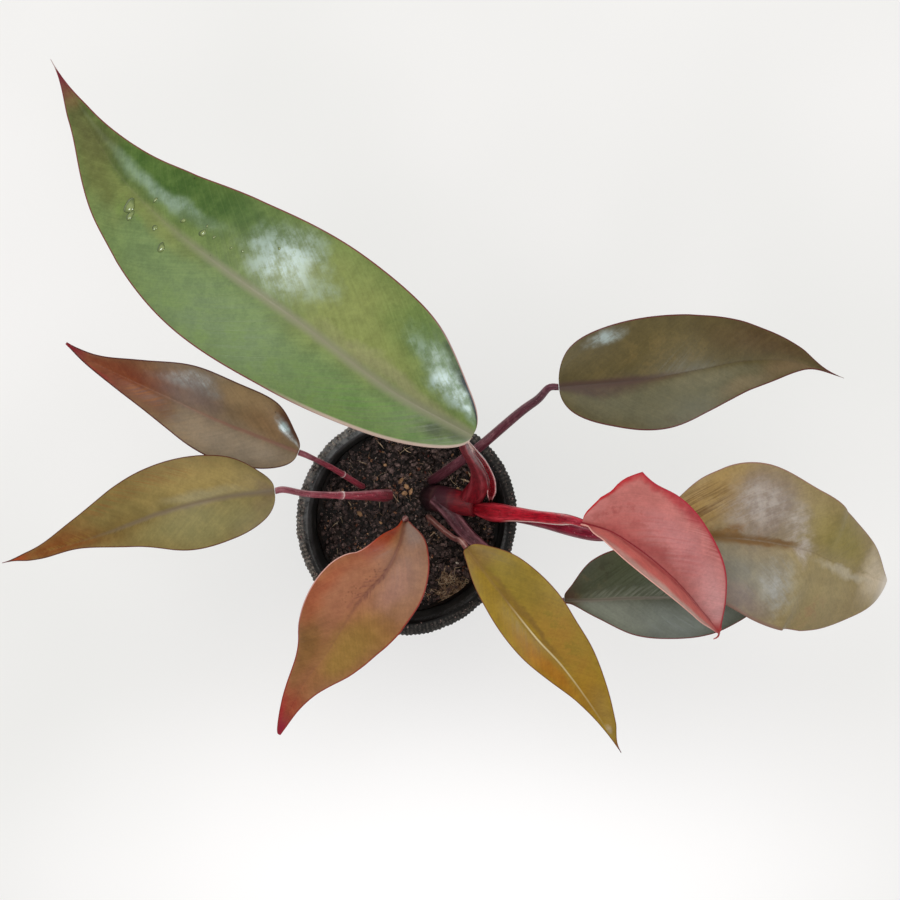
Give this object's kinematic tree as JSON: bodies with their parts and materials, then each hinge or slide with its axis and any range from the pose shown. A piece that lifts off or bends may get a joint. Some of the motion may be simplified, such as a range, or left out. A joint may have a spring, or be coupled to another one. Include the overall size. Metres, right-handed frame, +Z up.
{
  "type": "potted red-leaved philodendron",
  "caption": "Young climbing philodendron standing in soil in a round ribbed-rim nursery pot, with long pointed glossy leaves in green, bronze, copper and new red on arching stalks.",
  "frame": {"origin": "centre of the underside of the pot, on the surface it stands on", "axes": "+Z up, +X towards the leaning growing end and the new red leaf, +Y towards the large green leaf's side"},
  "size_m": [0.4572, 0.3524, 0.2423],
  "materials": {
    "pot": "moulded, slightly dusty",
    "soil": "moist crumbly potting mix with bark fibres",
    "main_stem": "smooth dark purple skin",
    "bud_sheath": "glossy red bract",
    "petiole_wine": "smooth wine-red stalk",
    "petiole_dark": "smooth dark purple stalk",
    "petiole_red": "glossy bright red stalk",
    "blade_green_large": "waxy, glossy green",
    "blade_bronze_left": "waxy, copper brown",
    "blade_olive_left": "waxy, olive bronze",
    "blade_copper_front": "waxy, coppery orange",
    "blade_gold_front": "waxy, golden olive",
    "blade_dark_right": "waxy, dark grey green",
    "blade_bronze_right": "waxy, khaki bronze with a silver sheen",
    "blade_red_new": "soft matt new red leaf",
    "blade_olive_back": "waxy, dark olive brown"
  },
  "bodies": {
    "root": {"pot": "pot", "soil": "soil", "main_stem": "main_stem", "bud_sheath": "bud_sheath", "petiole_green_large": "petiole_wine", "petiole_bronze_left": "petiole_wine", "petiole_olive_left": "petiole_wine", "petiole_copper_front": "petiole_wine", "petiole_gold_front": "petiole_wine", "petiole_dark_right": "petiole_dark", "petiole_bronze_right": "petiole_dark", "petiole_olive_back": "petiole_dark", "petiole_red_new": "petiole_red", "blade_green_large": "blade_green_large", "blade_bronze_left": "blade_bronze_left", "blade_olive_left": "blade_olive_left", "blade_copper_front": "blade_copper_front", "blade_gold_front": "blade_gold_front", "blade_dark_right": "blade_dark_right", "blade_bronze_right": "blade_bronze_right", "blade_red_new": "blade_red_new", "blade_olive_back": "blade_olive_back"}
  },
  "joints": []
}
